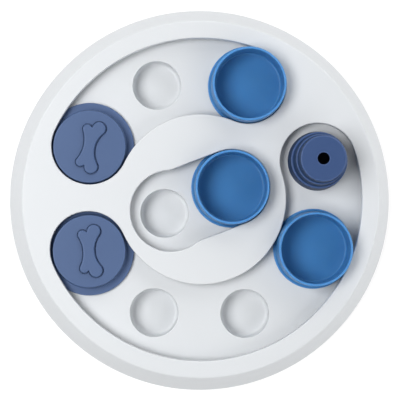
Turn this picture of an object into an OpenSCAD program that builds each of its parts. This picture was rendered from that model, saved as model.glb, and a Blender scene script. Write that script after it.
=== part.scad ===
// Round treat puzzle for dogs: a board with three slotted tracks, treat wells
// below the tracks, three open cups and two bone-marked pucks that slide in the
// tracks, and a stepped cone that is lifted off its well.
// Millimetres. +Z is up, the ground is z = 0 and the board's axis is x = y = 0.

/* [Board] */
// Diameter over the foot of the sloped skirt
board_d = 280; // [276:1:290]
// Height of the flat top above the ground
board_h = 32; // [31.5:0.5:34]
// Diameter of the flat top
top_d = 256; // [254:1:257]
// Wall thickness of the moulded cover
cover_t = 2.5; // [2:0.1:2.8]
// Height of the skirt's lower edge above the ground
skirt_gap = 1.8; // [1:0.1:2]
// Height of the track floor above the ground
floor_z = 22.5; // [22:0.1:23]
// Thickness of the tray's floor
tray_t = 2.5; // [2:0.1:3]
// Diameter of the tray
tray_d = 258; // [257:0.5:258]

/* [Tracks] */
// Radius of the line that the pieces slide along in the ring tracks
path_r = 88.6; // [88:0.1:89.2]
// Half of the slots' width
slot_hw = 27.5; // [27.4:0.1:28]
// Angle between neighbouring places of a ring track
pitch = 43.5; // [43:0.1:44]
// Height of the channel that the flanges slide in, under the lips
channel_h = 2.8; // [2.7:0.1:3.2]
// Thickness of the wall round each slot
lip_t = 2.2; // [1.6:0.1:2.4]
// Direction of the straight middle slot, from +X
mid_a = 21.75; // [15:0.25:30]
// Distance from the board's axis to the round end of the middle slot
mid_end = 23.5; // [23:0.1:24]
// Distance from the board's axis to the middle of the slot's round entry
entry_off = 23.4; // [23:0.1:24]
// Radius of the round entry, where the cup's flange goes in
entry_r = 29.3; // [29.2:0.1:29.6]

/* [Treat wells] */
// Radius of a well at the track floor
well_r = 17.6; // [17:0.1:18]
// Depth of a well below the track floor
well_h = 12.5; // [10:0.5:13]
// Radius of the rounding at the bottom of a well
well_round = 2.5; // [1.5:0.5:5]
// Distance of the two middle wells from the board's axis
mid_well = 28.1; // [27:0.1:29]

/* [Cups] */
// Height of a cup above the track floor
cup_h = 22.2; // [18:0.1:24]
// Outer radius of a cup's rim
cup_r = 26.4; // [26:0.1:26.6]
// Outer radius of a cup at its foot
cup_foot_r = 26.9; // [26.6:0.1:27]
// Wall thickness at the rim
cup_t = 1.7; // [1.4:0.1:2]
// Radius of a cup's flange
cup_flange_r = 28.95; // [28.5:0.05:29]
// Angle of the cup in the upper track
cup_upper_a = 68.1; // [68:0.1:70]
// Angle of the cup in the lower track
cup_lower_a = -23.1; // [-26:0.1:-18]
// Radius of the circle that both of these cups lie on
cup_path_r = 88.8; // [88.4:0.1:88.9]

/* [Bone pucks] */
// Radius of a puck's raised disc
puck_r = 25.8; // [25:0.1:26]
// Height of the disc's face above the track floor
puck_h = 9.8; // [9:0.1:11]
// Radius of a puck's flange
puck_flange_r = 32; // [30:0.1:32.2]
// Height of the bone above the disc's face
bone_h = 2; // [0.5:0.1:2.5]
// Angle of the puck in the upper track
puck_upper_a = 155.5; // [155:0.1:155.5]
// Angle of the puck in the lower track
puck_lower_a = -154.4; // [-155:0.1:-150]
// Turn of the bone on the upper puck
bone_upper_turn = -11.4; // [-180:0.1:180]
// Turn of the bone on the lower puck
bone_lower_turn = 4.2; // [-180:0.1:180]

/* [Cone] */
// Height of the cone above the track floor
cone_h = 41.5; // [38:0.5:46]
// Radius of the cone's foot
cone_foot_r = 21.5; // [20.5:0.1:21.8]
// Radius of the cone's flat top
cone_top_r = 16; // [15:0.1:16.2]
// Radius of the sniffing hole in the top
sniff_r = 4.2; // [3:0.1:5]
// Wall thickness of the cone
cone_t = 1.9; // [1.5:0.1:2.2]
// Radius of the spigot that stands in the well
spigot_r = 16.8; // [16.4:0.1:16.9]
// Angle of the cone in the lower track
cone_a = 18.9; // [18.7:0.05:19]
// Radius of the circle that the cone lies on
cone_path_r = 88.9; // [88.4:0.1:89]

/* [Feet and screws] */
// Radius of a rubber foot
foot_r = 6; // [5:0.1:6.5]
// Height of a rubber foot
foot_h = 4.2; // [3.6:0.1:4.6]
// Radius of the circle that the feet stand on
foot_path_r = 118; // [116:0.5:118]
// Radius of a screw's shank
screw_r = 1.5; // [1.2:0.1:1.6]
// Radius of a screw's head
screw_head_r = 3; // [2.6:0.1:3.1]
// Radius of the circle that the outer screws lie on
screw_path_r = 124.5; // [124.3:0.1:124.6]

/* [Hidden] */
$fn = 96;

board_c = [0.925, 0.94, 0.955];
cup_c = [0.17, 0.44, 0.72];
puck_c = [0.33, 0.40, 0.60];
cone_c = [0.24, 0.30, 0.52];

cover_r = board_d / 2;
top_r = top_d / 2;
lip_z = floor_z + channel_h;          // underside of the lips
plate_z = board_h - cover_t;          // underside of the flat top
slide_z = floor_z + 0.1;              // underside of the sliding pieces
upper_a = [90 - pitch / 2, 90 + 3 * pitch / 2];      // ends of the upper track
lower_a = [-90 - 3 * pitch / 2, -90 + 5 * pitch / 2]; // ends of the lower track
well_angles = [for (i = [0:2]) upper_a[0] + i * pitch,
               for (i = [0:4]) lower_a[0] + i * pitch];
bridge_angles = [180, (upper_a[0] + lower_a[1]) / 2];
outer_screws = [for (i = [0:5]) 60 * i];
foot_angles = [for (i = [0:5]) 30 + 60 * i];
island_r = 44;                        // distance of the two island screws
end_grow = 0.02;                      // how much wider a slot's round end is than the slot

// Points of an arc, for the profiles of turned shapes
function arc(c, r, a0, a1, n = 5) =
    [for (i = [0:n]) let (a = a0 + (a1 - a0) * i / n)
        [c[0] + r * cos(a), c[1] + r * sin(a)]];

// Where the screws stand, as [x, y]
function screw_places() = concat(
    [for (a = outer_screws) screw_path_r * [cos(a), sin(a)]],
    [for (a = bridge_angles) path_r * [cos(a), sin(a)]],
    [for (s = [-1, 1]) island_r * [cos(mid_a + s * 90), sin(mid_a + s * 90)]]);

// Where the wells are, as [x, y]
function well_places() = concat(
    [for (a = well_angles) path_r * [cos(a), sin(a)]],
    [for (s = [-1, 1]) s * mid_well * [cos(mid_a), sin(mid_a)]]);

// A curved slot of a ring track, half to each side of the path
module ring_slot(ends, half, z0, z1) {
    rotate([0, 0, ends[0]])
        rotate_extrude(angle = ends[1] - ends[0])
            translate([path_r - half, z0]) square([2 * half, z1 - z0]);
    for (a = ends) rotate([0, 0, a])
        translate([path_r, 0, z0]) cylinder(r = half + end_grow, h = z1 - z0);
}

// The straight middle slot with its round entry, grown by g on every side
module mid_slot(g, z0, z1) {
    rotate([0, 0, mid_a]) {
        translate([-entry_off, -slot_hw - g, z0])
            cube([entry_off + mid_end, 2 * (slot_hw + g), z1 - z0]);
        translate([mid_end, 0, z0])
            cylinder(r = slot_hw + g + end_grow, h = z1 - z0);
        translate([-entry_off, 0, z0]) cylinder(r = entry_r + g, h = z1 - z0);
    }
}

module all_slots(g, z0, z1) {
    ring_slot(upper_a, slot_hw + g, z0, z1);
    ring_slot(lower_a, slot_hw + g, z0, z1);
    mid_slot(g, z0, z1);
}

// The skirt and the flat top, turned in one piece
module cover_shell() {
    edge = 1.6;
    rotate_extrude() polygon(concat(
        [[0, plate_z], [top_r - 1.6, plate_z], [cover_r - 2.7, skirt_gap + 1.6],
         [cover_r - 2.7, skirt_gap]],
        arc([cover_r - 0.6, skirt_gap + 0.6], 0.6, -90, 0, 3),
        [[cover_r, skirt_gap + 1.4]],
        arc([top_r - edge + 0.9, board_h - edge], edge, 22, 90, 4),
        [[0, board_h]]));
}

module top_cover() {
    color(board_c)
    difference() {
        union() {
            cover_shell();
            // the walls round the slots, cut off level at the lips
            difference() {
                all_slots(lip_t, lip_z - 1, plate_z + 1);
                translate([0, 0, lip_z - 2]) cylinder(r = top_r, h = 2);
            }
            for (p = screw_places())
                translate([p[0], p[1], floor_z]) cylinder(r = 3.2, h = plate_z - floor_z + 1);
        }
        all_slots(0, lip_z - 1, board_h + 1);
        for (p = screw_places())
            translate([p[0], p[1], floor_z - 1])
                cylinder(r = screw_r + 0.05, h = 7);
    }
}

// A well's hollow, with a softened edge at the track floor
module well_hollow() {
    bottom = floor_z - well_h;
    rotate_extrude() polygon(concat(
        [[0, bottom]],
        arc([well_r - 0.3 - well_round, bottom + well_round], well_round, -90, 0),
        [[well_r, floor_z - 0.4]],
        arc([well_r + 0.4, floor_z - 0.4], 0.4, 180, 90, 3),
        [[well_r + 0.4, floor_z + 1], [0, floor_z + 1]]));
}

// The outside of a well under the tray
module well_body() {
    bottom = floor_z - well_h - 2;
    round = well_round + 1.5;
    rotate_extrude() polygon(concat(
        [[0, bottom]],
        arc([well_r + 1.6 - round, bottom + round], round, -90, 0),
        [[well_r + 2, floor_z - 1], [0, floor_z - 1]]));
}

module tray() {
    under = floor_z - tray_t;
    color(board_c)
    difference() {
        union() {
            translate([0, 0, under]) cylinder(r = tray_d / 2, h = tray_t);
            for (p = well_places()) translate([p[0], p[1], 0]) well_body();
            // a stiffening ring at the edge and one round the island
            translate([0, 0, under - 5]) difference() {
                cylinder(r = tray_d / 2, h = 6);
                translate([0, 0, -1]) cylinder(r = tray_d / 2 - 2, h = 8);
            }
            translate([0, 0, under - 5]) difference() {
                cylinder(r = 54, h = 6);
                translate([0, 0, -1]) cylinder(r = 52, h = 8);
            }
            // ribs between the wells
            for (i = [0:7])
                rotate([0, 0, i < 3 ? 90 + (i - 1) * pitch : -90 + (i - 5) * pitch])
                    translate([53, -1, under - 5]) cube([75.5, 2, 6]);
            for (p = screw_places())
                translate([p[0], p[1], under - 3]) cylinder(r = 4.3, h = 4);
            for (a = foot_angles) rotate([0, 0, a])
                translate([foot_path_r, 0, skirt_gap + 0.4])
                    cylinder(r = foot_r + 1.7, h = under - skirt_gap);
        }
        for (p = well_places()) translate([p[0], p[1], 0]) well_hollow();
        for (p = screw_places()) {
            translate([p[0], p[1], under - 6]) cylinder(r = screw_head_r + 0.4, h = 6);
            translate([p[0], p[1], under - 1]) cylinder(r = screw_r + 0.2, h = 5);
        }
        for (a = foot_angles) rotate([0, 0, a])
            translate([foot_path_r, 0, -1]) cylinder(r = foot_r + 0.1, h = foot_h + 1);
    }
}

// An open cup with a flange at its foot
module cup() {
    top = floor_z + cup_h;
    base = slide_z + 2.2;
    in_r = cup_r - cup_t;
    rotate_extrude() polygon(concat(
        [[0, slide_z]],
        arc([cup_flange_r - 0.4, slide_z + 0.4], 0.4, -90, 0, 2),
        arc([cup_flange_r - 0.6, slide_z + 1.2], 0.6, 0, 90, 3),
        [[cup_foot_r + 0.6, slide_z + 1.8], [cup_foot_r, slide_z + 2.4]],
        arc([cup_r - cup_t / 2, top - cup_t / 2], cup_t / 2, 0, 180, 8),
        arc([in_r - 1.4, base + 1], 1, 0, -90, 4),
        [[0, base]]));
}

module cup_upper() {
    color(cup_c) rotate([0, 0, cup_upper_a]) translate([cup_path_r, 0, 0]) cup();
}

module cup_middle() {
    color(cup_c) rotate([0, 0, mid_a]) translate([mid_end, 0, 0]) cup();
}

module cup_lower() {
    color(cup_c) rotate([0, 0, cup_lower_a]) translate([cup_path_r, 0, 0]) cup();
}

// Outline of a bone: two large knobs on one side, two small ones on the other and
// a waist hollowed by a circle on each side that just touches the knobs
function dir(p) = atan2(p[1], p[0]);
function bone_outline() =
    let (big = 5.2, small = 3.8, b = [4.35, 14], s = [-3.75, 12],
         right = b[0] + 0.2, left = s[0] - 0.7,
         // radii and middles of the two hollowing circles
         rr = (b[1] * b[1] - big * big + 0.04) / (2 * (big - 0.2)),
         rl = (s[1] * s[1] - small * small + 0.49) / (2 * (small - 0.7)),
         cr = [right + rr, 0], cl = [left - rl, 0],
         // the notch, where a large knob meets a small one
         d = norm(b - s), k = (d * d + big * big - small * small) / (2 * d),
         u = (s - b) / d, h = sqrt(big * big - k * k),
         notch = b + k * u + h * [u[1], -u[0]],
         a_right = dir(cr - b), a_left = dir(cl - s) + 360,
         upper = concat(arc(b, big, a_right, dir(notch - b), 14),
                        [for (q = arc(s, small, dir(notch - s), a_left, 12)) if (norm(q - notch) > 0.01) q]),
         waist_l = arc(cl, rl, dir(s - cl), -dir(s - cl), 14),
         waist_r = arc(cr, rr, 360 - dir(b - cr), dir(b - cr), 14),
         n = len(upper) - 1)
    concat(upper, [for (i = [1:len(waist_l) - 2]) waist_l[i]],
           [for (i = [n:-1:0]) [upper[i][0], -upper[i][1]]],
           [for (i = [1:len(waist_r) - 2]) waist_r[i]]);

// A puck: a shallow shell, open below, with a wide flange and a raised bone
module puck(turn) {
    face = floor_z + puck_h;
    side = 2;
    rotate_extrude() polygon(concat(
        [[puck_r - side, slide_z]],
        arc([puck_flange_r - 0.4, slide_z + 0.4], 0.4, -90, 0, 2),
        arc([puck_flange_r - 0.8, slide_z + 1.6], 0.8, 0, 90, 3),
        [[puck_r + 1.1, slide_z + 2.4], [puck_r + 0.5, slide_z + 3]],
        arc([puck_r - 0.6, face - 0.6], 0.6, 0, 90, 3),
        [[0, face], [0, face - side], [puck_r - side - 0.6, face - side]]));
    rotate([0, 0, turn]) translate([0, 0, face - 1])
        linear_extrude(height = bone_h + 1) polygon(bone_outline());
}

module bone_puck_upper() {
    color(puck_c) rotate([0, 0, puck_upper_a]) translate([path_r, 0, 0])
        puck(bone_upper_turn - puck_upper_a);
}

module bone_puck_lower() {
    color(puck_c) rotate([0, 0, puck_lower_a]) translate([path_r, 0, 0])
        puck(bone_lower_turn - puck_lower_a);
}

// The stepped cone: three tiers, hollow and open below, on a short spigot
module cone() {
    top = floor_z + cone_h;
    z1 = slide_z + 15.4;
    z2 = slide_z + 28.4;
    color(cone_c)
    rotate([0, 0, cone_a]) translate([cone_path_r, 0, 0])
        rotate_extrude() polygon(concat(
            [[spigot_r - 2, slide_z - 2.6], [spigot_r, slide_z - 2.6], [spigot_r, slide_z],
             [cone_foot_r - 0.4, slide_z], [cone_foot_r, slide_z + 0.4]],
            arc([cone_foot_r - 1.9, z1 - 0.6], 0.6, 0, 90, 3),
            [[cone_foot_r - 2.6, z1]],
            arc([cone_top_r + 1.2, z2 - 0.6], 0.6, 0, 90, 3),
            [[cone_top_r + 0.7, z2]],
            arc([cone_top_r - 0.7, top - 0.7], 0.7, 0, 90, 3),
            [[sniff_r + 0.4, top], [sniff_r, top - 0.4], [sniff_r, top - cone_t],
             [cone_top_r - cone_t - 0.2, top - cone_t], [cone_top_r + 0.6 - cone_t, z2 - cone_t],
             [cone_foot_r - 2.9 - cone_t, z1 - cone_t], [cone_foot_r - 2.6 - cone_t, slide_z + 3]]));
}

// A rubber foot, pressed into its socket under the tray
module foot(i) {
    color([0.2, 0.21, 0.23])
    rotate([0, 0, foot_angles[i]]) translate([foot_path_r, 0, 0])
        rotate_extrude() polygon([[0, 0], [foot_r - 0.8, 0], [foot_r, 0.8],
                                  [foot_r, foot_h], [0, foot_h]]);
}

module foot_1() { foot(0); }
module foot_2() { foot(1); }
module foot_3() { foot(2); }
module foot_4() { foot(3); }
module foot_5() { foot(4); }
module foot_6() { foot(5); }

// Self-tapping screws with a cross recess, driven up from below
module screws() {
    under = floor_z - tray_t;
    color("silver")
    for (p = screw_places()) translate([p[0], p[1], 0])
        difference() {
            union() {
                translate([0, 0, under - 1.9]) cylinder(r1 = screw_head_r - 0.7, r2 = screw_head_r, h = 0.8);
                translate([0, 0, under - 1.1]) cylinder(r = screw_head_r, h = 1.1);
                translate([0, 0, under - 0.5]) cylinder(r = screw_r, h = 7.3);
                translate([0, 0, under + 6.8]) cylinder(r1 = screw_r, r2 = 0.5, h = 1.2);
            }
            for (a = [0, 90]) rotate([0, 0, a + 20])
                translate([-1.7, -0.4, under - 3]) cube([3.4, 0.8, 2.2]);
        }
}

top_cover();
tray();
bone_puck_upper();
bone_puck_lower();
cup_upper();
cup_middle();
cup_lower();
cone();
foot_1();
foot_2();
foot_3();
foot_4();
foot_5();
foot_6();
screws();
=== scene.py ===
import math

import bmesh
import bpy
from mathutils import Matrix, Vector
from mathutils.geometry import delaunay_2d_cdt


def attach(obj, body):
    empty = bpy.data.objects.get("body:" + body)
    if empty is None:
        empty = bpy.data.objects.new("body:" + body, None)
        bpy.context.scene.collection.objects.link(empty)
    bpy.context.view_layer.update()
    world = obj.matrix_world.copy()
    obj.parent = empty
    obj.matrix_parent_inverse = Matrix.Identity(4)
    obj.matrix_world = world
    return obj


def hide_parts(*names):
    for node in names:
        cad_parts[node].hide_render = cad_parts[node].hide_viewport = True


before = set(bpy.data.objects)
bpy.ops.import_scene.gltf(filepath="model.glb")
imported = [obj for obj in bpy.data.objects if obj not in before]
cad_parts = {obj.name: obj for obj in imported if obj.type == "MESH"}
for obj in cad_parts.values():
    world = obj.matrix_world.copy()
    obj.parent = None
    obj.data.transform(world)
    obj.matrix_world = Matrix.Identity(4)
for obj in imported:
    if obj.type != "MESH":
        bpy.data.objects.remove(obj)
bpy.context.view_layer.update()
MM = 0.001


# ---------------------------------------------------------------- mesh tools

def arc(cx, cy, r, a0, a1, n):
    """n + 1 points of an arc, angles in degrees."""
    return [(cx + r * math.cos(math.radians(a0 + (a1 - a0) * i / n)),
             cy + r * math.sin(math.radians(a0 + (a1 - a0) * i / n))) for i in range(n + 1)]


def polar(r, a):
    return (r * math.cos(math.radians(a)), r * math.sin(math.radians(a)))


def soften(points, hold=0.25, n=5):
    """A profile of (r, z, radius) corners, each rounded by its radius, with a holding
    point just outside each rounding so that the flats stay flat when shaded."""
    out = []
    last = len(points) - 1
    for i, (x, y, rad) in enumerate(points):
        if i in (0, last) or rad <= 0:
            out.append((x, y))
            continue
        p = Vector((x, y))
        a = Vector(points[i - 1][:2]) - p
        b = Vector(points[i + 1][:2]) - p
        la, lb = a.length, b.length
        a.normalize()
        b.normalize()
        half = a.angle(b) / 2
        if half > math.radians(89.5):
            out.append((x, y))
            continue
        t = min(rad / math.tan(half), la * 0.49, lb * 0.49)
        r = t * math.tan(half)
        bis = (a + b).normalized()
        c = p + bis * (r / math.sin(half))
        s, e = p + a * t, p + b * t
        if la * 0.5 > t + hold:
            out.append(tuple(p + a * (t + hold)))
        a0 = math.atan2(s.y - c.y, s.x - c.x)
        a1 = math.atan2(e.y - c.y, e.x - c.x)
        d = (a1 - a0 + math.pi) % (2 * math.pi) - math.pi
        out += [(c.x + r * math.cos(a0 + d * k / n), c.y + r * math.sin(a0 + d * k / n)) for k in range(n + 1)]
        if lb * 0.5 > t + hold:
            out.append(tuple(p + b * (t + hold)))
    return out


def ring(bm, points, z):
    """A closed loop of vertices at height z, in mm."""
    return [bm.verts.new((x * MM, y * MM, z * MM)) for x, y in points]


def circle(cx, cy, r, n, turn=0.0):
    return [(cx + r * math.cos(2 * math.pi * i / n + turn), cy + r * math.sin(2 * math.pi * i / n + turn))
            for i in range(n)]


def bridge(bm, a, b):
    """Quads between two loops of the same length."""
    n = len(a)
    for i in range(n):
        j = (i + 1) % n
        bm.faces.new((a[i], a[j], b[j], b[i]))


def turned(bm, profile, n, cx=0.0, cy=0.0, closed=False):
    """The surface that a profile of (r, z) makes round an upright axis. A point on the
    axis becomes one vertex. The first and last loops are returned."""
    rings = []
    for r, z in profile:
        if r < 1e-6:
            rings.append([bm.verts.new((cx * MM, cy * MM, z * MM))])
        else:
            rings.append(ring(bm, circle(cx, cy, r, n), z))
    pairs = list(zip(rings, rings[1:]))
    if closed:
        pairs.append((rings[-1], rings[0]))
    for a, b in pairs:
        if len(a) == 1 and len(b) == 1:
            continue
        if len(a) == 1 or len(b) == 1:
            v, loop = (a[0], b) if len(a) == 1 else (b[0], a)
            for i in range(n):
                bm.faces.new((loop[i], loop[(i + 1) % n], v))
        else:
            bridge(bm, a, b)
    return rings[0], rings[-1]


def inside(x, y, outline):
    hit = False
    x1, y1 = outline[-1]
    for x2, y2 in outline:
        if (y1 > y) != (y2 > y) and x < x1 + (y - y1) * (x2 - x1) / (y2 - y1):
            hit = not hit
        x1, y1 = x2, y2
    return hit


def fill(bm, loops):
    """Triangles over a flat region between an outer loop and the loops inside it."""
    verts, edges, outlines = [], [], []
    for loop in loops:
        first, count = len(verts), len(loop)
        verts += loop
        edges += [(first + i, first + (i + 1) % count) for i in range(count)]
        outline = [(v.co.x / MM, v.co.y / MM) for v in loop]
        xs, ys = zip(*outline)
        outlines.append((min(xs), max(xs), min(ys), max(ys), outline))
    flat = [Vector(p) for box in outlines for p in box[4]]
    made, _, faces, origin, _, _ = delaunay_2d_cdt(flat, edges, [], 1, 1e-6)
    if any(len(o) != 1 for o in origin):
        raise ValueError("outlines of a flat region cross or touch")
    for face in faces:
        x = sum(made[i].x for i in face) / 3
        y = sum(made[i].y for i in face) / 3
        depth = sum(1 for x0, x1, y0, y1, outline in outlines
                    if x0 < x < x1 and y0 < y < y1 and inside(x, y, outline))
        if depth % 2:
            bm.faces.new([verts[origin[i][0]] for i in face])


def edge_sharpness(bm):
    """For each vertex how sharply the surface turns outward there, from 0 on flats,
    in hollows and on wide curves to 1 on a rounding of about a millimetre or less."""
    bm.normal_update()
    values = []
    for v in bm.verts:
        bend = 0.0
        for e in v.link_edges:
            if len(e.link_faces) != 2:
                continue
            f, g = e.link_faces
            across = g.calc_center_median() - f.calc_center_median()
            across -= e_dir(e) * across.dot(e_dir(e))
            turn = f.normal.angle(g.normal, 0.0)
            if turn < math.radians(1.0) or across.length < 1e-9:
                continue
            if (g.normal - f.normal).dot(across) > 0:
                bend = max(bend, turn / (across.length / MM))
        values.append(min(1.0, max(0.0, (bend - 0.35) / 0.9)))
    return values


def e_dir(e):
    d = e.verts[1].co - e.verts[0].co
    return d.normalized()


def finish_mesh(name, bm, sharp=38):
    bmesh.ops.recalc_face_normals(bm, faces=bm.faces)
    # how sharply the surface turns at each vertex; the materials lighten sharp edges by it, partly as rubbing and
    # partly as a painted highlight
    edge_bend = edge_sharpness(bm)
    mesh = bpy.data.meshes.new(name)
    bm.to_mesh(mesh)
    bm.free()
    mesh.attributes.new("edge_bend", "FLOAT", "POINT").data.foreach_set("value", edge_bend)
    mesh.polygons.foreach_set("use_smooth", [True] * len(mesh.polygons))
    mesh.set_sharp_from_angle(angle=math.radians(sharp))
    obj = bpy.data.objects.new(name, mesh)
    bpy.context.scene.collection.objects.link(obj)
    return obj


# ------------------------------------------------------- sizes, in mm and degrees

PATH = 88.6
PITCH = 43.5
UPPER = (68.25, 155.25)
LOWER = (-155.25, 18.75)
MID_A = 21.75
FLOOR = 22.5
TOP = 32.0
PLATE = 29.5
LIP = 25.3
LIP_T = 2.2
HALF = 27.5
MID_END, ENTRY_OFF, ENTRY_R = 23.5, 23.4, 29.3
WELLS = [polar(PATH, UPPER[0] + PITCH * i) for i in range(3)] + \
        [polar(PATH, LOWER[0] + PITCH * i) for i in range(5)] + \
        [polar(s * 28.1, MID_A) for s in (-1, 1)]
SCREWS = [polar(124.5, 60 * i) for i in range(6)] + \
         [polar(PATH, 180), polar(PATH, 43.5)] + \
         [polar(44, MID_A + s * 90) for s in (-1, 1)]
FEET = [polar(118, 30 + 60 * i) for i in range(6)]
WELL_H, WELL_ROUND = 12.5, 2.5
BONE_H = 2.0


def track_outline(ends, g):
    """A ring track's edge, moved out by g, counter-clockwise."""
    e0, e1 = ends
    n = int(round((e1 - e0) / 1.5))
    h = HALF + g
    pts = arc(0, 0, PATH + h, e0, e1, n)
    c = polar(PATH, e1)
    pts += arc(c[0], c[1], h, e1, e1 + 180, 36)[1:]
    pts += arc(0, 0, PATH - h, e1, e0, n)[1:]
    c = polar(PATH, e0)
    pts += arc(c[0], c[1], h, e0 + 180, e0 + 360, 36)[1:-1]
    return pts


def middle_outline(g, rho=3.0):
    """The middle slot's edge with its round entry, moved out by g, counter-clockwise.
    rho softens the two corners where the entry meets the straight sides."""
    h, e = HALF + g, ENTRY_R + g
    cx = -ENTRY_OFF + math.sqrt((ENTRY_R + rho) ** 2 - (HALF + rho) ** 2)
    cy = HALF + rho
    a = math.degrees(math.atan2(-cy, -ENTRY_OFF - cx))
    pts = arc(MID_END, 0, h, -90, 90, 40)
    pts += [(MID_END + (cx - MID_END) * k / 5, h) for k in range(1, 5)]
    pts += arc(cx, cy, rho - g, -90, a, 5)
    pts += arc(-ENTRY_OFF, 0, e, a + 180, 180 - a, 64)[1:]
    pts += arc(cx, -cy, rho - g, -a, 90, 5)[1:]
    pts += [(cx + (MID_END - cx) * k / 5, -h) for k in range(1, 5)]
    ca, sa = math.cos(math.radians(MID_A)), math.sin(math.radians(MID_A))
    return [(x * ca - y * sa, x * sa + y * ca) for x, y in pts]


# ------------------------------------------------------------------ the cover

def make_cover():
    bm = bmesh.new()
    n = 320
    # the plateau's rim, the skirt and the inside of the skirt
    rim = [(126.6, TOP)] + arc(127.3, TOP - 1.6, 1.6, 90, 22, 6)
    foot = soften([(rim[-1][0], rim[-1][1], 0), (140.0, 3.2, 0.5), (140.0, 1.8, 0.6),
                   (137.3, 1.8, 0.5), (137.3, 3.4, 0.8), (126.4, PLATE, 0)], 0.3, 4)
    profile = rim + [(rim[-1][0] + 0.12, rim[-1][1] - 0.3)] + foot[1:]
    outer, inner = turned(bm, profile, n)
    edge = 0.8
    levels = [(edge + 0.35, TOP)]
    levels += [(edge - edge * math.sin(math.radians(t)), TOP - edge + edge * math.cos(math.radians(t)))
               for t in (0, 15, 30, 45, 60, 75, 90)]
    levels += [(0, TOP - edge - 0.3), (0, LIP + 0.6), (0, LIP + 0.3), (0.09, LIP + 0.09), (0.3, LIP),
               (LIP_T - 0.3, LIP), (LIP_T - 0.09, LIP + 0.09), (LIP_T, LIP + 0.3), (LIP_T, PLATE)]
    tops, unders = [outer], [inner]
    for outline in (lambda g: track_outline(UPPER, g), lambda g: track_outline(LOWER, g), middle_outline):
        loops = [ring(bm, outline(g), z) for g, z in levels]
        for a, b in zip(loops, loops[1:]):
            bridge(bm, a, b)
        tops.append(loops[0])
        unders.append(loops[-1])
    fill(bm, tops)
    fill(bm, unders)
    # the screw bosses under the plate
    for x, y in SCREWS:
        turned(bm, [(1.55, FLOOR), (3.2, FLOOR), (3.2, PLATE + 0.5), (1.55, PLATE + 0.5)], 32, x, y, closed=True)
    return finish_mesh("cover_shell", bm)


# ------------------------------------------------------------------- the tray

def make_tray():
    bm = bmesh.new()
    # edge of the plate with its stiffening ring, whose inner wall makes way for the
    # recess of each outer screw
    rim = soften([(127.8, FLOOR, 0), (129.0, FLOOR, 0.3), (129.0, 15.0, 0.4), (127.0, 15.0, 0.4),
                  (127.0, 20.0, 0.3), (126.1, 20.0, 0)], 0.2, 3)
    steps = [2 * k for k in range(-15, 15) if k] + [s * v for v in (0.2, 0.4, 0.6, 0.8, 0.95, 1.06, 1.3) for s in (-1, 1)]
    steps = sorted(steps + [0])
    loops = []
    for r, z in rim:
        points = []
        for turn in range(6):
            for a in steps:
                q = 3.45 ** 2 - (124.5 * math.sin(math.radians(a))) ** 2
                dent = 124.5 * math.cos(math.radians(a)) + math.sqrt(q) - 127.0 if q > 0 else 0.0
                points.append(polar(r + (max(0.0, dent) if r < 127.5 and z < FLOOR - 1 else 0.0), 60 * turn + a))
        loops.append(ring(bm, points, z))
    for a, b in zip(loops, loops[1:]):
        bridge(bm, a, b)
    under = loops[-1]
    tops = [loops[0]]
    floor = FLOOR - WELL_H
    well = [(18.3, FLOOR)] + arc(17.95, FLOOR - 0.35, 0.35, 90, 180, 5) + [(17.59, FLOOR - 0.6)]
    well += [(17.35, floor + WELL_ROUND + 0.3)] + arc(17.33 - WELL_ROUND, floor + WELL_ROUND, WELL_ROUND, 0, -90, 12)
    well += [(16.9 - WELL_ROUND, floor), (5.0, floor), (0.0, floor)]
    for x, y in WELLS:
        tops.append(turned(bm, well, 96, x, y)[0])
    fill(bm, tops)
    # the underside: outer ring zone, the ring round the island, the island zone
    a_in, a_out = turned(bm, soften([(54.9, 20.0, 0), (54.0, 20.0, 0.3), (54.0, 15.0, 0.4), (52.0, 15.0, 0.4),
                                     (52.0, 20.0, 0.3), (51.1, 20.0, 0)], 0.2, 3), 128)
    zones = [[under, a_in], [a_out]]
    under_r = WELL_ROUND + 1.5
    body = [(20.1, 20.0), (19.75, 19.9), (19.5, 19.6), (19.2, floor - 2 + under_r)] + \
        arc(19.2 - under_r, floor - 2 + under_r, under_r, 0, -90, 10)[1:] + [(18.7 - under_r, floor - 2), (0.0, floor - 2)]
    pillar = soften([(8.0, 20.0, 0), (7.7, 20.0, 0.2), (7.7, 2.2, 0.5), (6.1, 2.2, 0.3), (6.1, 4.2, 0), (0.0, 4.2, 0)], 0.2, 3)
    boss = soften([(4.8, 20.0, 0), (4.3, 20.0, 0.2), (4.3, 17.0, 0.25), (3.4, 17.0, 0.2), (3.4, 20.0, 0),
                   (1.7, 20.0, 0), (1.7, 22.2, 0), (0.0, 22.2, 0)], 0.15, 3)
    for x, y in SCREWS[:6]:
        turned(bm, soften([(3.4, 20.2, 0), (3.4, 17.0, 0.2), (4.3, 17.0, 0.25), (4.3, 20.2, 0)], 0.15, 3), 32, x, y,
               closed=True)
    for places, profile, m in ((WELLS, body, 72), (FEET, pillar, 48), (SCREWS[6:], boss, 32)):
        for x, y in places:
            zone = 1 if math.hypot(x, y) < 52 else 0
            zones[zone].append(turned(bm, profile, m, x, y)[0])
    for loops in zones:
        fill(bm, loops)
    # ribs between the wells
    for a in [90 + (i - 1) * PITCH for i in range(3)] + [-90 + (i - 5) * PITCH for i in range(3, 8)]:
        ca, sa = math.cos(math.radians(a)), math.sin(math.radians(a))
        section = [(-1.0, 20.3), (-1.0, 15.35), (-0.9, 15.1), (-0.65, 15.0),
                   (0.65, 15.0), (0.9, 15.1), (1.0, 15.35), (1.0, 20.3)]
        loops = []
        for r in (53.0, 128.0):
            loops.append([bm.verts.new(((r * ca - v * sa) * MM, (r * sa + v * ca) * MM, z * MM)) for v, z in section])
        bridge(bm, loops[0], loops[1])
        bm.faces.new(loops[0])
        bm.faces.new(loops[1])
    return finish_mesh("well_tray", bm)


# ------------------------------------------------------------------- the cups

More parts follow.
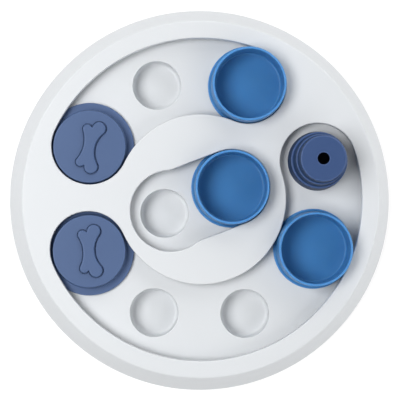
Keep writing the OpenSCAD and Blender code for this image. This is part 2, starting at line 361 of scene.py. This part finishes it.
def make_cup(name, x, y):
    bm = bmesh.new()
    z0 = FLOOR + 0.1
    top = FLOOR + 22.2
    outside = soften([(0, z0, 0), (28.95, z0, 0.45), (28.95, z0 + 1.8, 0.6), (27.15, z0 + 1.8, 0.7),
                      (26.45, top - 1.6, 0)], 0.2, 5)
    rim = arc(25.55, top - 0.85, 0.85, 0, 180, 12)
    inside = soften([(24.7, top - 1.4, 0), (24.3, z0 + 2.2, 1.6), (0, z0 + 2.2, 0)], 0.3, 10)
    profile = outside + rim + inside
    profile.insert(1, (14.0, z0))
    profile.insert(-1, (12.0, z0 + 2.2))
    turned(bm, profile, 192, x, y)
    return finish_mesh(name, bm)


# ------------------------------------------------------------------ the pucks

def bone_outline(g, cx, cy, turn):
    """The bone's edge, moved in by g: two large knobs, two small ones and a waist
    hollowed by a circle on each side that touches the knobs. Moving in rounds the notch
    between the knobs, moving out keeps it sharp; the number of points stays the same."""
    big, small = 5.2, 3.8
    b, s = Vector((4.35, 14.0)), Vector((-3.75, 12.0))
    right, left = b.x + 0.2, s.x - 0.7
    rr = (b.y ** 2 - big ** 2 + 0.2 ** 2) / (2 * (big - 0.2))
    rl = (s.y ** 2 - small ** 2 + 0.7 ** 2) / (2 * (small - 0.7))
    cr, cl = Vector((right + rr, 0)), Vector((left - rl, 0))
    d = (b - s).length
    u = (s - b) / d

    def ang(v):
        return math.degrees(math.atan2(v.y, v.x))

    def meeting(grow):
        p, q = big + grow, small + grow
        k = (d * d + p * p - q * q) / (2 * d)
        return b + u * k + Vector((u.y, -u.x)) * math.sqrt(p * p - k * k)

    notch = meeting(max(-g, 0.0))
    a_big, a_small = ang(notch - b), ang(notch - s)
    upper = arc(b.x, b.y, big - g, ang(cr - b), a_big, 22)
    upper += arc(notch.x, notch.y, max(g, 0.0), a_big + 180, a_small + 180, 6)[1:-1]
    upper += arc(s.x, s.y, small - g, a_small, ang(cl - s) + 360, 18)
    pts = list(upper)
    pts += arc(cl.x, cl.y, rl + g, ang(s - cl), -ang(s - cl), 24)[1:-1]
    pts += [(x, -y) for x, y in reversed(upper)]
    pts += arc(cr.x, cr.y, rr + g, 360 - ang(b - cr), ang(b - cr), 24)[1:-1]
    ca, sa = math.cos(math.radians(turn)), math.sin(math.radians(turn))
    return [(cx + x * ca - y * sa, cy + x * sa + y * ca) for x, y in pts]


def make_puck(name, x, y, turn):
    bm = bmesh.new()
    z0 = FLOOR + 0.1
    face = FLOOR + 9.8
    # from the inside of the shell, round the flange and up to the disc's face
    profile = soften([(0, face - 2.0, 0), (23.6, face - 2.0, 0.8), (23.8, z0, 0.4), (32.0, z0, 0.45),
                      (32.0, z0 + 2.4, 0.8), (26.6, z0 + 2.4, 0.8), (25.8, face, 0.7), (22.8, face, 0)], 0.25, 6)
    rings = turned(bm, profile, 192, x, y)
    # the bone: a fine groove round its foot, wider on its right, a drafted side and a
    # rounded upper edge
    levels = [(-0.45, face), (-0.38, face), (-0.34, face - 0.04), (-0.32, face - 0.14), (-0.29, face - 1.0),
              (-0.25, face - 1.1), (0.19, face - 1.1), (0.23, face - 1.0), (0.29, face), (0.43, face + 0.9)]
    levels += [(0.47 + q, z) for q, z in arc(1.1, face + BONE_H - 1.1, 1.1, 170, 90, 8)]
    levels.append((1.85, face + BONE_H))
    loops = [ring(bm, bone_outline(g, x + (0.05 if g < -0.2 else -0.25), y, turn), z) for g, z in levels]
    for a, b in zip(loops, loops[1:]):
        bridge(bm, a, b)
    bmesh.ops.remove_doubles(bm, verts=[v for loop in loops for v in loop], dist=2e-6)
    ends = [[v for v in loop if v.is_valid] for loop in (loops[0], loops[-1])]
    fill(bm, [rings[1], ends[0]])
    fill(bm, [ends[1]])
    return finish_mesh(name, bm)


# ------------------------------------------------------------------- the cone

def make_cone(name, x, y):
    bm = bmesh.new()
    z0 = FLOOR + 0.1
    top = FLOOR + 41.5
    z1, z2 = z0 + 15.4, z0 + 28.4
    profile = soften([
        (14.8, z0 - 2.6, 0), (16.8, z0 - 2.6, 0.4), (16.8, z0, 0.15), (21.5, z0, 0.45), (20.25, z1, 0.75),
        (18.75, z1, 0.35), (17.85, z2, 0.75), (16.7, z2, 0.35), (16.0, top, 0.85), (4.2, top, 0.5),
        (4.2, top - 1.9, 0.4), (13.9, top - 1.9, 1.0), (14.7, z2 - 1.9, 0.4), (16.7, z1 - 1.9, 0.6),
        (17.0, z0 + 3.0, 0.5)], 0.25, 6)
    turned(bm, profile, 160, x, y, closed=True)
    obj = finish_mesh(name, bm)
    # the upright faces get a darker colour than the level faces, which is painted shade, and a rougher finish
    level = [1.0 if p.normal.z > 0.97 and p.center.z > z0 * MM else 0.0 for p in obj.data.polygons]
    obj.data.attributes.new("level_face", "FLOAT", "FACE").data.foreach_set("value", level)
    return obj


# ------------------------------------------------------------------ materials

def new_material(name):
    m = bpy.data.materials.new(name)
    m.use_nodes = True
    m.node_tree.nodes.clear()
    return m, m.node_tree.nodes, m.node_tree.links


def noise(nodes, links, coord, scale, detail=2.0, rough=0.5):
    n = nodes.new("ShaderNodeTexNoise")
    n.inputs["Scale"].default_value = scale
    n.inputs["Detail"].default_value = detail
    n.inputs["Roughness"].default_value = rough
    links.new(coord, n.inputs["Vector"])
    return n.outputs["Fac"]


def ramp(nodes, links, value, stops):
    n = nodes.new("ShaderNodeValToRGB")
    els = n.color_ramp.elements
    while len(els) < len(stops):
        els.new(0.5)
    for e, (pos, colour) in zip(els, stops):
        e.position = pos
        e.color = (*colour, 1) if len(colour) == 3 else colour
    links.new(value, n.inputs["Fac"])
    return n.outputs["Color"]


def remap(nodes, links, value, lo, hi, from_lo=0.3, from_hi=0.7):
    n = nodes.new("ShaderNodeMapRange")
    n.inputs["From Min"].default_value = from_lo
    n.inputs["From Max"].default_value = from_hi
    n.inputs["To Min"].default_value = lo
    n.inputs["To Max"].default_value = hi
    links.new(value, n.inputs["Value"])
    return n.outputs["Result"]


def mix_colour(nodes, links, fac, a, b, blend="MIX"):
    n = nodes.new("ShaderNodeMix")
    n.data_type = "RGBA"
    n.blend_type = blend
    ia, ib = n.inputs[6], n.inputs[7]
    if isinstance(fac, (int, float)):
        n.inputs[0].default_value = fac
    else:
        links.new(fac, n.inputs[0])
    for sock, v in ((ia, a), (ib, b)):
        if isinstance(v, tuple):
            sock.default_value = (*v, 1)
        else:
            links.new(v, sock)
    return n.outputs[2]


def plastic(name, colour, rough, grain=2600.0, grain_depth=0.00001, grain_strength=0.25, tint=0.02,
            edge=0.10, scuff=0.35, coat=0.0, spec=0.5, rough_span=0.05, subsurface=0.0, wall_shade_and_roughness=None,
            edge_gloss=0.0):
    """Moulded plastic: slow drift of colour, a fine mould texture, faint flow marks,
    sharp edges made lighter, partly as rubbing and partly as a painted highlight,
    and a few hair-thin scuffs."""
    m, nodes, links = new_material(name)
    out = nodes.new("ShaderNodeOutputMaterial")
    bsdf = nodes.new("ShaderNodeBsdfPrincipled")
    links.new(bsdf.outputs["BSDF"], out.inputs["Surface"])
    coord = nodes.new("ShaderNodeTexCoord").outputs["Object"]

    slow = noise(nodes, links, coord, 14.0, 3.0, 0.5)
    mid = noise(nodes, links, coord, 160.0, 3.0, 0.6)
    fine = noise(nodes, links, coord, grain, 2.0, 0.6)

    light = tuple(min(1.0, c * (1 + tint)) for c in colour)
    dark = tuple(c * (1 - tint) for c in colour)
    base = ramp(nodes, links, slow, [(0.36, dark), (0.64, light)])
    base = mix_colour(nodes, links, remap(nodes, links, mid, 0.0, 0.5), base,
                      tuple(min(1.0, c * (1 + tint * 0.6)) for c in colour))

    if wall_shade_and_roughness:
        # painted shade: faces other than the upward level ones take the darker colour
        level_face = nodes.new("ShaderNodeAttribute")
        level_face.attribute_name = "level_face"
        base = mix_colour(nodes, links, level_face.outputs["Fac"], wall_shade_and_roughness[0], base)

    # edges made lighter, partly as rubbing and partly as a painted highlight: the mesh says how sharply it turns,
    # noise breaks the lightening up
    sharp = nodes.new("ShaderNodeAttribute")
    sharp.attribute_name = "edge_bend"
    rub_and_highlight = nodes.new("ShaderNodeMath")
    rub_and_highlight.operation = "MULTIPLY"
    links.new(sharp.outputs["Fac"], rub_and_highlight.inputs[0])
    links.new(remap(nodes, links, noise(nodes, links, coord, 420.0, 4.0, 0.65), 0.6 * edge, edge), rub_and_highlight.inputs[1])
    worn_and_highlit = rub_and_highlight.outputs[0]
    # the colour of the lightened edges: partly rubbing, partly a painted highlight
    pale = tuple(min(1.0, c * 1.6 + 0.03) for c in colour)
    base = mix_colour(nodes, links, worn_and_highlit, base, pale)

    # hair scuffs: a stretched wave broken up by noise
    mapping = nodes.new("ShaderNodeMapping")
    mapping.inputs["Rotation"].default_value = (0.0, 0.0, 0.7)
    mapping.inputs["Scale"].default_value = (1.0, 14.0, 1.0)
    links.new(coord, mapping.inputs["Vector"])
    streak = noise(nodes, links, mapping.outputs["Vector"], 60.0, 4.0, 0.7)
    scuffs = remap(nodes, links, streak, 0.0, scuff, 0.66, 0.74)

    links.new(base, bsdf.inputs["Base Color"])
    add = nodes.new("ShaderNodeMath")
    add.operation = "MULTIPLY_ADD"
    links.new(scuffs, add.inputs[0])
    add.inputs[1].default_value = 0.12
    level = remap(nodes, links, mid, rough - rough_span, rough + rough_span)
    if wall_shade_and_roughness:
        blend = nodes.new("ShaderNodeMix")
        blend.data_type = "FLOAT"
        links.new(level_face.outputs["Fac"], blend.inputs[0])
        blend.inputs[2].default_value = wall_shade_and_roughness[1]
        links.new(level, blend.inputs[3])
        level = blend.outputs[0]
    if edge_gloss:
        shine = nodes.new("ShaderNodeMath")
        shine.operation = "MULTIPLY_ADD"
        shine.use_clamp = True
        links.new(sharp.outputs["Fac"], shine.inputs[0])
        shine.inputs[1].default_value = -edge_gloss
        links.new(level, shine.inputs[2])
        level = shine.outputs[0]
    links.new(level, add.inputs[2])
    links.new(add.outputs[0], bsdf.inputs["Roughness"])

    b1 = nodes.new("ShaderNodeBump")
    b1.inputs["Strength"].default_value = grain_strength
    b1.inputs["Distance"].default_value = grain_depth
    links.new(fine, b1.inputs["Height"])
    b2 = nodes.new("ShaderNodeBump")
    b2.inputs["Strength"].default_value = 0.12
    b2.inputs["Distance"].default_value = 0.0001
    links.new(slow, b2.inputs["Height"])
    links.new(b1.outputs["Normal"], b2.inputs["Normal"])
    links.new(b2.outputs["Normal"], bsdf.inputs["Normal"])

    bsdf.inputs["Specular IOR Level"].default_value = spec
    bsdf.inputs["Coat Weight"].default_value = coat
    bsdf.inputs["Coat Roughness"].default_value = 0.12
    if subsurface:
        bsdf.inputs["Subsurface Weight"].default_value = subsurface
        bsdf.inputs["Subsurface Radius"].default_value = (0.3, 0.8, 1.0)
        bsdf.inputs["Subsurface Scale"].default_value = 0.002
    return m


def rubber(name):
    m, nodes, links = new_material(name)
    out = nodes.new("ShaderNodeOutputMaterial")
    bsdf = nodes.new("ShaderNodeBsdfPrincipled")
    links.new(bsdf.outputs["BSDF"], out.inputs["Surface"])
    coord = nodes.new("ShaderNodeTexCoord").outputs["Object"]
    dust = noise(nodes, links, coord, 240.0, 5.0, 0.65)
    fine = noise(nodes, links, coord, 1800.0, 3.0, 0.6)
    links.new(ramp(nodes, links, dust, [(0.4, (0.028, 0.03, 0.034)), (0.7, (0.075, 0.075, 0.075))]),
              bsdf.inputs["Base Color"])
    links.new(remap(nodes, links, fine, 0.62, 0.85), bsdf.inputs["Roughness"])
    b = nodes.new("ShaderNodeBump")
    b.inputs["Strength"].default_value = 0.4
    b.inputs["Distance"].default_value = 0.00005
    links.new(fine, b.inputs["Height"])
    links.new(b.outputs["Normal"], bsdf.inputs["Normal"])
    return m


def steel(name):
    m, nodes, links = new_material(name)
    out = nodes.new("ShaderNodeOutputMaterial")
    bsdf = nodes.new("ShaderNodeBsdfPrincipled")
    links.new(bsdf.outputs["BSDF"], out.inputs["Surface"])
    bsdf.inputs["Metallic"].default_value = 1.0
    coord = nodes.new("ShaderNodeTexCoord").outputs["Object"]
    mapping = nodes.new("ShaderNodeMapping")
    mapping.inputs["Scale"].default_value = (1.0, 1.0, 9.0)
    links.new(coord, mapping.inputs["Vector"])
    brush = noise(nodes, links, mapping.outputs["Vector"], 900.0, 4.0, 0.7)
    patch = noise(nodes, links, coord, 220.0, 3.0, 0.5)
    links.new(ramp(nodes, links, patch, [(0.35, (0.50, 0.50, 0.52)), (0.7, (0.66, 0.66, 0.64))]),
              bsdf.inputs["Base Color"])
    links.new(remap(nodes, links, brush, 0.24, 0.42), bsdf.inputs["Roughness"])
    b = nodes.new("ShaderNodeBump")
    b.inputs["Strength"].default_value = 0.2
    b.inputs["Distance"].default_value = 0.00002
    links.new(brush, b.inputs["Height"])
    links.new(b.outputs["Normal"], bsdf.inputs["Normal"])
    return m


# edge sets how much the sharp edges are lightened, partly as rubbing and partly as a painted highlight
WHITE = plastic("board_plastic", (0.63, 0.65, 0.67), 0.46, tint=0.008, edge=0.1, scuff=0.3, spec=0.4)
CUP = plastic("cup_plastic", (0.049, 0.187, 0.42), 0.38, tint=0.03, edge=0.6, scuff=0.4, spec=0.18,
              grain_strength=0.12, subsurface=0.3)
PUCK = plastic("puck_plastic", (0.068, 0.113, 0.231), 0.45, tint=0.03, edge=0.2, scuff=0.4, spec=0.25,
               grain_strength=0.5, grain_depth=0.00002)
# the cone's upright faces are painted darker than its level faces, as painted shade
CONE = plastic("cone_plastic", (0.045, 0.081, 0.191), 0.36, tint=0.03, edge=0.7, scuff=0.4, spec=0.14,
               grain_strength=0.2, wall_shade_and_roughness=((0.010, 0.034, 0.096), 0.5), edge_gloss=0.28)
RUBBER = rubber("foot_rubber_dark")
STEEL = steel("screw_zinc")


# ------------------------------------------------------------------- assembly

def dress(obj, material):
    obj.data.materials.clear()
    obj.data.materials.append(material)
    return obj


def place(obj, body, node_name, material):
    dress(obj, material)
    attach(obj, body)
    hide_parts(node_name)
    return obj


place(make_cover(), "board", "top_cover", WHITE)
place(make_tray(), "board", "tray", WHITE)
for key, (r, a) in {"cup_upper": (88.8, 68.1), "cup_middle": (23.5, 21.75), "cup_lower": (88.8, -23.1)}.items():
    place(make_cup(key + "_shell", *polar(r, a)), key, key, CUP)
for key, a, turn in (("upper", 155.5, -11.4), ("lower", -154.4, 4.2)):
    place(make_puck("puck_" + key + "_shell", *polar(PATH, a), turn), "puck_" + key, "bone_puck_" + key,
          PUCK)
place(make_cone("cone_shell", *polar(88.9, 18.9)), "cone", "cone", CONE)

for key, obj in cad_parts.items():
    if key.startswith("foot_") or key == "screws":
        material = STEEL if key == "screws" else RUBBER
        for s in obj.material_slots:
            s.material = material
        if not obj.material_slots:
            obj.data.materials.append(material)


# ------------------------------------------------------- floor, light, camera

def make_floor():
    bm = bmesh.new()
    s = 6.0
    v = [bm.verts.new(p) for p in ((-s, -s, 0), (s, -s, 0), (s, s, 0), (-s, s, 0))]
    bm.faces.new(v)
    mesh = bpy.data.meshes.new("floor")
    bm.to_mesh(mesh)
    bm.free()
    obj = bpy.data.objects.new("floor", mesh)
    bpy.context.scene.collection.objects.link(obj)
    m, nodes, links = new_material("floor_white")
    out = nodes.new("ShaderNodeOutputMaterial")
    bsdf = nodes.new("ShaderNodeBsdfPrincipled")
    bsdf.inputs["Base Color"].default_value = (0.25, 0.25, 0.25, 1)
    bsdf.inputs["Roughness"].default_value = 0.9
    bsdf.inputs["Specular IOR Level"].default_value = 0.0
    bsdf.inputs["Emission Color"].default_value = (1, 1, 1, 1)
    bsdf.inputs["Emission Strength"].default_value = 0.8
    links.new(bsdf.outputs["BSDF"], out.inputs["Surface"])
    mesh.materials.append(m)
    return obj


def soft_box(name, azimuth, elevation, distance, width, height, power, colour=(1, 1, 1)):
    """A soft box that looks at the board, placed by its direction in degrees."""
    data = bpy.data.lights.new(name, "AREA")
    data.shape = "RECTANGLE"
    data.size = width
    data.size_y = height
    data.energy = power
    data.color = colour
    obj = bpy.data.objects.new(name, data)
    az, el = math.radians(azimuth), math.radians(elevation)
    at = Vector((math.cos(az) * math.cos(el), math.sin(az) * math.cos(el), math.sin(el))) * distance
    obj.location = at
    obj.rotation_euler = (Vector((0, 0, 0.03)) - at).to_track_quat("-Z", "Y").to_euler()
    obj.visible_camera = False
    bpy.context.scene.collection.objects.link(obj)
    return obj


make_floor()
scene = bpy.context.scene
world = bpy.data.worlds.new("studio")
world.use_nodes = True
background = world.node_tree.nodes["Background"]
background.inputs["Color"].default_value = (1.0, 1.0, 1.0, 1)
# the room is pale at eye level and below, and dim overhead
sky, sky_links = world.node_tree.nodes, world.node_tree.links
split = sky.new("ShaderNodeSeparateXYZ")
sky_links.new(sky.new("ShaderNodeTexCoord").outputs["Generated"], split.inputs[0])
fade = sky.new("ShaderNodeMath")
fade.operation = "SUBTRACT"
fade.use_clamp = True
fade.inputs[0].default_value = 1.0
sky_links.new(split.outputs[2], fade.inputs[1])
strength = None
for power, amount, rest in ((2.0, 0.33, 0.02), (14.0, 0.5, 0.0)):
    curve = sky.new("ShaderNodeMath")
    curve.operation = "POWER"
    curve.inputs[1].default_value = power
    sky_links.new(fade.outputs[0], curve.inputs[0])
    room = sky.new("ShaderNodeMath")
    room.operation = "MULTIPLY_ADD"
    room.inputs[1].default_value = amount
    room.inputs[2].default_value = rest
    sky_links.new(curve.outputs[0], room.inputs[0])
    if strength:
        sky_links.new(strength, room.inputs[2])
    strength = room.outputs[0]
sky_links.new(strength, background.inputs["Strength"])
scene.world = world
soft_box("key", 180, 60.5, 1.3, 0.95, 0.6, 15.3)
soft_box("fill_back", 90, 28, 1.3, 1.0, 1.0, 4.8)
soft_box("fill_corner", 45, 28, 1.3, 1.0, 1.0, 4.8)
soft_box("fill_right", 0, 22, 1.3, 1.0, 1.0, 3.5)
soft_box("fill_side", 310, 38, 1.3, 1.0, 1.0, 5.6)

camera = bpy.data.cameras.new("camera")
camera.sensor_width = 36.0
camera.lens = 36.0 * 1348.6 * 1.00056 / 400
camera.clip_start, camera.clip_end = 0.05, 20.0
eye = bpy.data.objects.new("camera", camera)
eye.location = (-0.0276, -0.0192, 1.0)
look = (Vector((0, 0, 0)) - eye.location).normalized()
roll = math.radians(0.65)
up = Vector((math.sin(-roll), math.cos(roll), 0))
right = look.cross(up).normalized()
up = right.cross(look).normalized()
eye.rotation_euler = Matrix((right, up, -look)).transposed().to_euler()
bpy.context.scene.collection.objects.link(eye)
scene.camera = eye

scene.view_settings.view_transform = "Standard"
scene.view_settings.look = "None"

bpy.context.view_layer.update()
